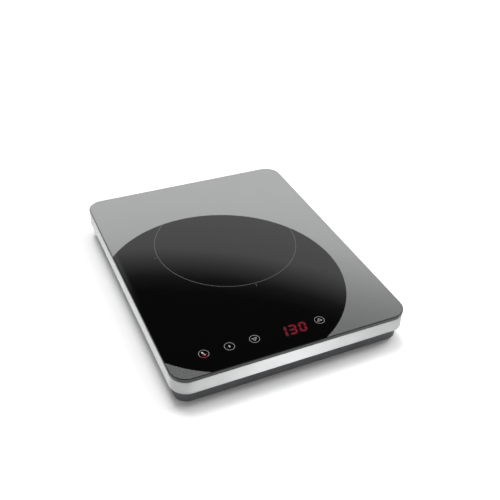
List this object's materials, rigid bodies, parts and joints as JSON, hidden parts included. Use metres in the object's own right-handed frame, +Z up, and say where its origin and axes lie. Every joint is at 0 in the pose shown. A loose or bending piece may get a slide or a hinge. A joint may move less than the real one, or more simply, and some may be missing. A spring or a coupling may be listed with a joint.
{
  "type": "induction hob",
  "caption": "Slim free-standing induction hob: glass top with touch keys and display, satin metal band, dark vented tray on rubber feet, coil, cooling fan and power electronics inside.",
  "frame": {"origin": "centre of the footprint on the table top, under the middle of the casing", "axes": "+X right, +Y to the rear, away from the touch keys, +Z up"},
  "size_m": [0.29, 0.365, 0.044],
  "materials": {
    "glass_top": "gloss black and metallic grey print under glass-ceramic",
    "seal_silicone": "matt",
    "band_metal": "satin",
    "case_plastic": "fine moulded texture",
    "foot_rubber": "matt",
    "screw_steel": "zinc plated",
    "mica": "satin",
    "copper_litz": "enamelled wire",
    "carrier_plastic": "matt",
    "ferrite": "matt ceramic",
    "silicone_cap": "matt",
    "lead_red": "satin",
    "lead_black": "satin",
    "fan_plastic": "satin",
    "motor_winding": "varnished",
    "circuit_board": "solder mask",
    "heatsink_metal": "extruded",
    "component_black": "moulded epoxy",
    "capacitor_case": "potted box",
    "choke_winding": "enamelled wire",
    "transformer_tape": "polyester tape",
    "fuse_glass": "clear",
    "terminal_plastic": "moulded",
    "display_block": "dark red filter",
    "spring_metal": "bright",
    "ribbon_grey": "matt",
    "gland_plastic": "nylon"
  },
  "bodies": {
    "casing": {"glass_plate": "glass_top", "glass_seal": "seal_silicone", "side_frame": "band_metal", "base_tray": "case_plastic", "foot_front_left": "foot_rubber", "foot_front_right": "foot_rubber", "foot_rear_left": "foot_rubber", "foot_rear_right": "foot_rubber", "case_screw_1": "screw_steel", "case_screw_2": "screw_steel", "case_screw_3": "screw_steel", "case_screw_4": "screw_steel", "case_screw_5": "screw_steel", "case_screw_6": "screw_steel", "mica_sheet": "mica", "coil_winding": "copper_litz", "coil_carrier": "carrier_plastic", "ferrite_bar_1": "ferrite", "ferrite_bar_2": "ferrite", "ferrite_bar_3": "ferrite", "ferrite_bar_4": "ferrite", "ferrite_bar_5": "ferrite", "ferrite_bar_6": "ferrite", "pan_sensor": "silicone_cap", "coil_screw_1": "screw_steel", "coil_screw_2": "screw_steel", "coil_screw_3": "screw_steel", "coil_lead_inner": "lead_red", "coil_lead_outer": "lead_red", "fan_frame": "fan_plastic", "fan_stator": "motor_winding", "fan_screw_1": "screw_steel", "fan_screw_2": "screw_steel", "fan_lead": "lead_black", "power_board": "circuit_board", "board_screw_1": "screw_steel", "board_screw_2": "screw_steel", "board_screw_3": "screw_steel", "board_screw_4": "screw_steel", "heatsink": "heatsink_metal", "power_transistor": "component_black", "bridge_rectifier": "component_black", "filter_capacitor": "capacitor_case", "resonant_capacitor": "capacitor_case", "mains_choke": "choke_winding", "supply_transformer": "transformer_tape", "mains_fuse": "fuse_glass", "terminal_block": "terminal_plastic", "control_board": "circuit_board", "display_module": "display_block", "buzzer": "component_black", "touch_spring_1": "spring_metal", "touch_spring_2": "spring_metal", "touch_spring_3": "spring_metal", "touch_spring_4": "spring_metal", "ribbon_cable": "ribbon_grey", "cord_gland": "gland_plastic", "gland_nut": "gland_plastic"},
    "fan": {"fan_rotor": "fan_plastic"}
  },
  "joints": [
    {"name": "fan_spin", "type": "hinge", "parent": "casing", "child": "fan", "pos_m": [-0.072, 0.092, 0.0155], "axis": [0, 0, 1], "continuous": true}
  ]
}
